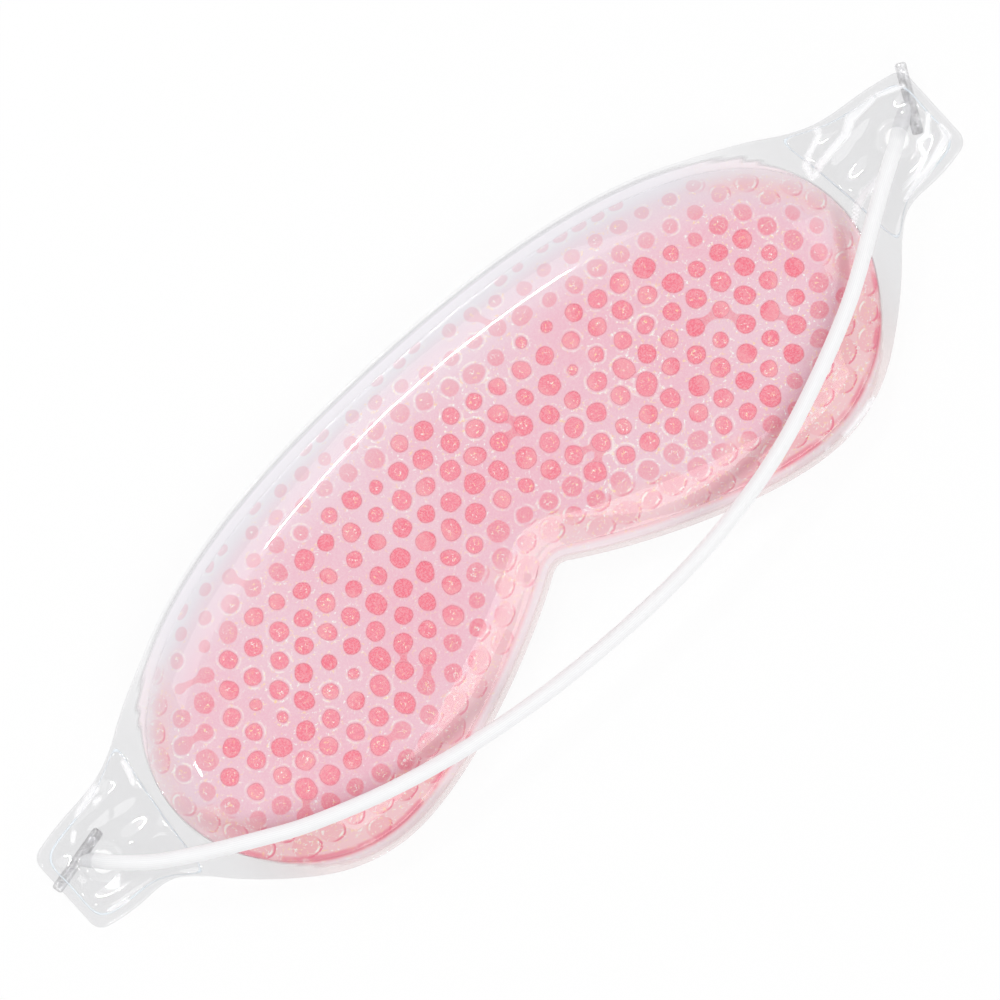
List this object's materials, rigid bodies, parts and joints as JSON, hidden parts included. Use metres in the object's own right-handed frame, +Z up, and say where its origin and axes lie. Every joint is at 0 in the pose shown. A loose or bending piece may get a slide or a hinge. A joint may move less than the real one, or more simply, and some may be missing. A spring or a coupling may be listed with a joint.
{
  "type": "gel bead eye mask",
  "caption": "Clear welded eye mask filled with pink gel beads, with a nose notch, a holed tab at each end and a white elastic strap held by metal bars.",
  "frame": {"origin": "middle of the mask on the surface that it lies on", "axes": "+X towards the tab on the right with the forehead edge up, +Y towards the forehead edge, +Z up through the front film that the strap lies on"},
  "size_m": [0.2406, 0.0764, 0.0153],
  "materials": {
    "clear_film": "clear glossy welded film",
    "gel_bead": "wet translucent gel",
    "gel_bed": "wet translucent gel",
    "elastic_strap": "braided white elastic",
    "bright_metal": "bright plated strip"
  },
  "bodies": {
    "left_half": {"front_film_left": "clear_film", "rear_film_left": "clear_film", "gel_bed_left": "gel_bed", "bead_row_left_01": "gel_bead", "bead_row_left_02": "gel_bead", "bead_row_left_03": "gel_bead", "bead_row_left_04": "gel_bead", "bead_row_left_05": "gel_bead", "bead_row_left_06": "gel_bead", "bead_row_left_07": "gel_bead", "bead_row_left_08": "gel_bead", "bead_row_left_09": "gel_bead", "bead_row_left_10": "gel_bead", "bead_row_left_11": "gel_bead", "bead_row_left_12": "gel_bead", "bead_row_left_13": "gel_bead", "bead_row_left_14": "gel_bead", "bead_row_left_15": "gel_bead", "bead_row_left_16": "gel_bead", "bead_row_left_17": "gel_bead", "strap_left": "elastic_strap"},
    "right_half": {"front_film_right": "clear_film", "rear_film_right": "clear_film", "gel_bed_right": "gel_bed", "bead_row_right_01": "gel_bead", "bead_row_right_02": "gel_bead", "bead_row_right_03": "gel_bead", "bead_row_right_04": "gel_bead", "bead_row_right_05": "gel_bead", "bead_row_right_06": "gel_bead", "bead_row_right_07": "gel_bead", "bead_row_right_08": "gel_bead", "bead_row_right_09": "gel_bead", "bead_row_right_10": "gel_bead", "bead_row_right_11": "gel_bead", "bead_row_right_12": "gel_bead", "bead_row_right_13": "gel_bead", "bead_row_right_14": "gel_bead", "bead_row_right_15": "gel_bead", "bead_row_right_16": "gel_bead", "bead_row_right_17": "gel_bead", "strap_right": "elastic_strap"},
    "left_bar": {"strap_bar_left": "bright_metal"},
    "right_bar": {"strap_bar_right": "bright_metal"}
  },
  "joints": [
    {"name": "bridge_fold", "type": "hinge", "parent": "left_half", "child": "right_half", "pos_m": [0, 0, 0.0108], "axis": [0, -1, 0], "range_deg": [0, 75]},
    {"name": "left_bar_swivel", "type": "hinge", "parent": "left_half", "child": "left_bar", "pos_m": [-0.1126, 0.0036, 0.0023], "axis": [0, 0, 1], "range_deg": [0, 65]},
    {"name": "right_bar_swivel", "type": "hinge", "parent": "right_half", "child": "right_bar", "pos_m": [0.1163, 0.0044, 0.0023], "axis": [0, 0, 1], "range_deg": [0, 110]}
  ]
}
